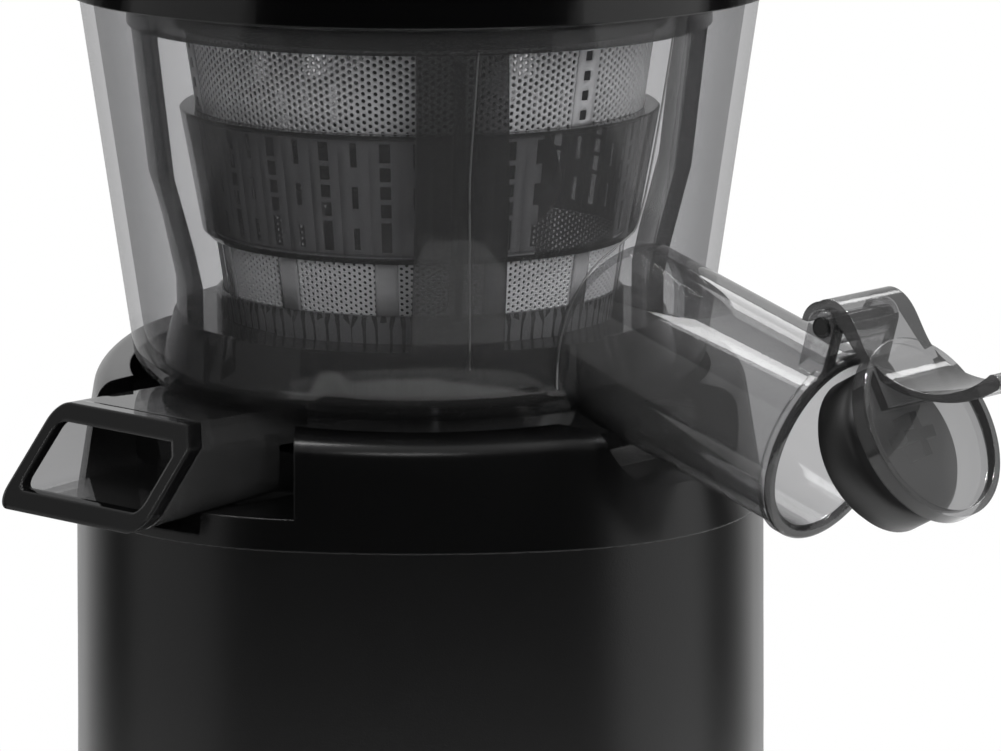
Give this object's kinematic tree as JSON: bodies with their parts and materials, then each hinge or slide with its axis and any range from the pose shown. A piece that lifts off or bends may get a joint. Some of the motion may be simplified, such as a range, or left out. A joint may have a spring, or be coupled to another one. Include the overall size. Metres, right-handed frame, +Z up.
{
  "type": "cold press juicer",
  "caption": "Upright cold press juicer: motor base, clear juicing bowl with strainer, brush cage and auger, slanting juice tube with hinged cap, pulp chute, lid with feed tube and pusher.",
  "frame": {"origin": "on the resting surface, straight under the drive axis", "axes": "+Z up along the drive axis, front towards -Y, juice tube to the right front, pulp chute to the left front"},
  "size_m": [0.2287, 0.2077, 0.447],
  "materials": {
    "satin_black": "fine satin moulded plastic",
    "gloss_black": "polished black plastic",
    "black_rubber": "dull black rubber",
    "grey_silicone": "translucent grey silicone",
    "steel": "turned steel",
    "core_steel": "stacked steel sheets",
    "cast_aluminium": "die cast",
    "copper_wire": "enamelled copper wire",
    "circuit_board": "glass fibre board",
    "white_nylon": "natural nylon",
    "smoke_clear": "clear smoke-grey copolyester",
    "smoke_dark": "darker clear smoke-grey copolyester",
    "sieve_steel": "punched sheet",
    "auger_grey": "tough dark resin"
  },
  "bodies": {
    "base": {"base_housing": "satin_black", "bottom_plate": "satin_black", "rubber_feet": "black_rubber", "bottom_screws": "steel", "shoulder": "gloss_black", "shaft_seal": "black_rubber", "motor_can": "steel", "lower_bell": "cast_aluminium", "upper_bell": "cast_aluminium", "stator_core": "core_steel", "stator_windings": "copper_wire", "gearbox_case": "cast_aluminium", "gearbox_cover": "cast_aluminium", "gearbox_screws": "steel", "bearings": "steel", "control_board": "circuit_board", "switch_bezel": "satin_black", "cord_gland": "satin_black"},
    "motor": {"motor_shaft": "steel", "rotor": "core_steel", "cooling_fan": "white_nylon", "motor_pinion": "steel"},
    "counter": {"countershaft": "steel", "first_gear": "white_nylon", "second_pinion": "steel"},
    "drive": {"drive_shaft": "steel", "output_gear": "steel"},
    "rocker": {"switch_rocker": "gloss_black"},
    "bowl": {"juicing_bowl": "smoke_clear", "juice_tube": "smoke_clear", "bowl_packing": "black_rubber", "cap_pin": "steel", "pulp_chute": "smoke_dark", "idler_pin": "steel", "strainer_base": "smoke_clear", "strainer_belt": "smoke_clear", "strainer_ribs": "smoke_clear", "strainer_ring": "smoke_clear", "strainer_mesh": "sieve_steel"},
    "idler": {"idler_gear": "white_nylon"},
    "cage": {"brush_frame": "smoke_dark", "brush_blades": "grey_silicone"},
    "auger": {"auger": "auger_grey", "auger_socket": "steel"},
    "cap": {"cap": "smoke_clear", "cap_stopper": "black_rubber"},
    "lid": {"lid": "gloss_black", "lid_seal": "grey_silicone"},
    "pusher": {"pusher_body": "gloss_black", "pusher_grip": "gloss_black"}
  },
  "joints": [
    {"name": "drive_spin", "type": "hinge", "parent": "base", "child": "drive", "pos_m": [0, 0, 0.15], "axis": [0, 0, 1], "continuous": true},
    {"name": "motor_spin", "type": "hinge", "parent": "base", "child": "motor", "pos_m": [0, 0, 0.08], "axis": [0, 0, 1], "continuous": true},
    {"name": "counter_spin", "type": "hinge", "parent": "base", "child": "counter", "pos_m": [0, 0.0315, 0.145], "axis": [0, 0, 1], "continuous": true},
    {"name": "rocker_tip", "type": "hinge", "parent": "base", "child": "rocker", "pos_m": [0, 0.07926, 0.062], "axis": [1, 0, 0], "range_deg": [-12, 12]},
    {"name": "bowl_lift", "type": "slide", "parent": "base", "child": "bowl", "axis": [0, 0, 1], "range_m": [0, 0.12]},
    {"name": "auger_spin", "type": "hinge", "parent": "bowl", "child": "auger", "pos_m": [0, 0, 0.24], "axis": [0, 0, 1], "continuous": true},
    {"name": "idler_spin", "type": "hinge", "parent": "bowl", "child": "idler", "pos_m": [0.01575, 0.02728, 0.2047], "axis": [0, 0, 1], "continuous": true},
    {"name": "cage_spin", "type": "hinge", "parent": "bowl", "child": "cage", "pos_m": [0, 0, 0.24], "axis": [0, 0, 1], "continuous": true},
    {"name": "cap_hinge", "type": "hinge", "parent": "bowl", "child": "cap", "pos_m": [0.09391, -0.0859, 0.22617], "axis": [0.6481, 0.7615, 0], "range_deg": [-20, 46.4]},
    {"name": "lid_lift", "type": "slide", "parent": "bowl", "child": "lid", "axis": [0, 0, 1], "range_m": [0, 0.1]},
    {"name": "pusher_slide", "type": "slide", "parent": "lid", "child": "pusher", "axis": [0, 0, 1], "range_m": [0, 0.12]}
  ],
  "couplings": [
    {"joint": "motor_spin", "follows": "drive_spin", "ratio": 16.917},
    {"joint": "counter_spin", "follows": "drive_spin", "ratio": -3.5},
    {"joint": "auger_spin", "follows": "drive_spin", "ratio": 1},
    {"joint": "idler_spin", "follows": "drive_spin", "ratio": -0.90909},
    {"joint": "cage_spin", "follows": "drive_spin", "ratio": -0.3125}
  ]
}
